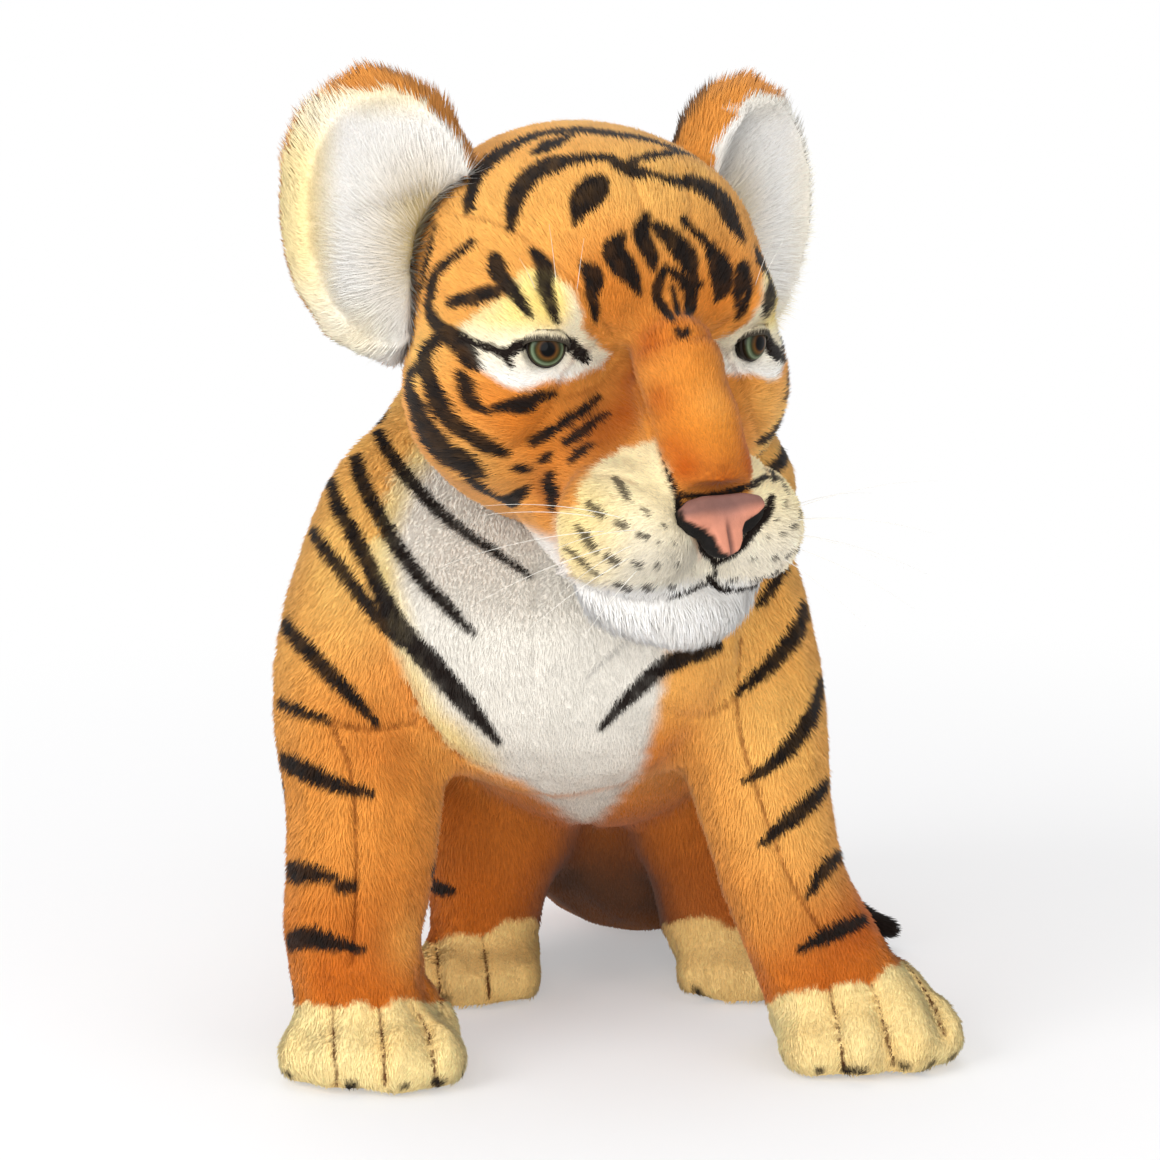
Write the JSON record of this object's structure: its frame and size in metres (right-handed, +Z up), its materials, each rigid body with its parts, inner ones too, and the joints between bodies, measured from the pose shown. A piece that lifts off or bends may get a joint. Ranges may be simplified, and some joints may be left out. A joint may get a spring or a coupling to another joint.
{
  "type": "plush tiger",
  "caption": "Sitting plush tiger cub with a turning head on a neck disc joint and a wired tail that swings.",
  "frame": {"origin": "on the floor in the tiger's middle plane, at the centre of the flat that the seat rests on", "axes": "+Z up, -Y the way the chest faces, +X the tiger's own left side"},
  "size_m": [0.2676, 0.3932, 0.3656],
  "materials": {
    "striped_fur": "short orange pile fur with airbrushed black stripes",
    "white_fur": "soft white pile fur",
    "cream_fur": "short cream pile fur with stitched toe seams",
    "black_fur": "short black pile fur",
    "nose_pink": "satin moulded nose",
    "eye_plastic": "clear domed eye with a printed iris",
    "whisker_nylon": "pale nylon thread",
    "joint_plastic": "moulded natural plastic",
    "steel": "plain drawn wire and stamped washer",
    "cotton": "woven cotton bag"
  },
  "bodies": {
    "sitting_body": {"torso": "striped_fur", "front_leg_right": "striped_fur", "front_leg_left": "striped_fur", "front_paw_right": "cream_fur", "front_paw_left": "cream_fur", "thigh_right": "striped_fur", "thigh_left": "striped_fur", "hind_paw_right": "cream_fur", "hind_paw_left": "cream_fur", "front_leg_wire": "steel", "pellet_bag": "cotton", "neck_body_disc": "joint_plastic", "neck_washer": "steel", "neck_lock_ring": "steel"},
    "turning_head": {"neck_head_disc": "joint_plastic", "head": "striped_fur", "nose_bridge": "striped_fur", "whisker_pad_right": "white_fur", "whisker_pad_left": "white_fur", "chin": "white_fur", "nose": "nose_pink", "nose_washer": "joint_plastic", "eye_right": "eye_plastic", "eye_left": "eye_plastic", "eye_washer_right": "joint_plastic", "eye_washer_left": "joint_plastic", "ear_outer_right": "striped_fur", "ear_outer_left": "striped_fur", "ear_inner_right": "white_fur", "ear_inner_left": "white_fur", "whisker_right_1": "whisker_nylon", "whisker_right_2": "whisker_nylon", "whisker_right_3": "whisker_nylon", "whisker_right_4": "whisker_nylon", "whisker_left_1": "whisker_nylon", "whisker_left_2": "whisker_nylon", "whisker_left_3": "whisker_nylon", "whisker_left_4": "whisker_nylon"},
    "swinging_tail": {"tail": "striped_fur", "tail_tip": "black_fur", "tail_wire": "steel"}
  },
  "joints": [
    {"name": "head_turn", "type": "hinge", "parent": "sitting_body", "child": "turning_head", "pos_m": [0, -0.134, 0.216], "axis": [0, -0.5736, 0.8192], "range_deg": [-90, 20]},
    {"name": "tail_sweep", "type": "hinge", "parent": "sitting_body", "child": "swinging_tail", "pos_m": [0, 0.058, 0.044], "axis": [0, 0, 1], "range_deg": [0, 70]}
  ]
}
